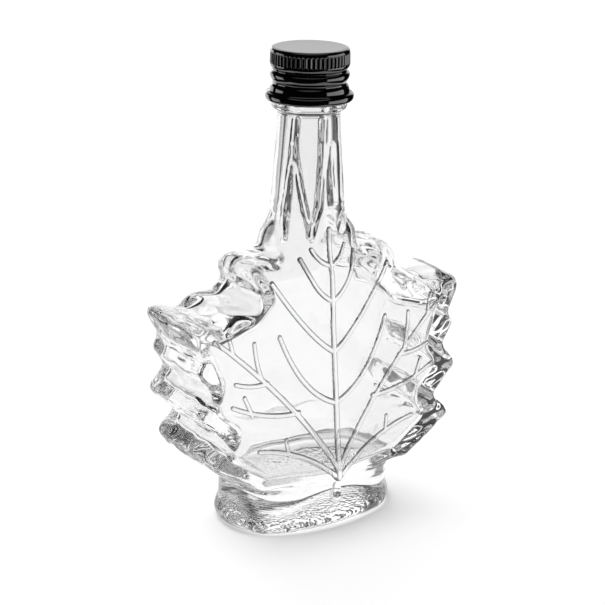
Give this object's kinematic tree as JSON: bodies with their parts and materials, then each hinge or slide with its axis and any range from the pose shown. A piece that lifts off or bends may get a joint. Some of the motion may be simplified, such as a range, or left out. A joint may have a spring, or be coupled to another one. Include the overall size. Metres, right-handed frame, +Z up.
{
  "type": "maple leaf bottle",
  "caption": "Clear glass bottle shaped like a maple leaf, with raised leaf veins, an oval foot, a tapering round neck and a black knurled metal screw cap.",
  "frame": {"origin": "middle of the oval foot, on the surface the bottle stands on", "axes": "+Z up along the neck, X across the leaf, -Y out of the veined front face"},
  "size_m": [0.0764, 0.0323, 0.1141],
  "materials": {
    "clear_glass": "smooth colourless moulded glass",
    "black_lacquer": "gloss black lacquered sheet metal"
  },
  "bodies": {
    "root": {"bottle": "clear_glass", "cap": "black_lacquer"}
  },
  "joints": []
}
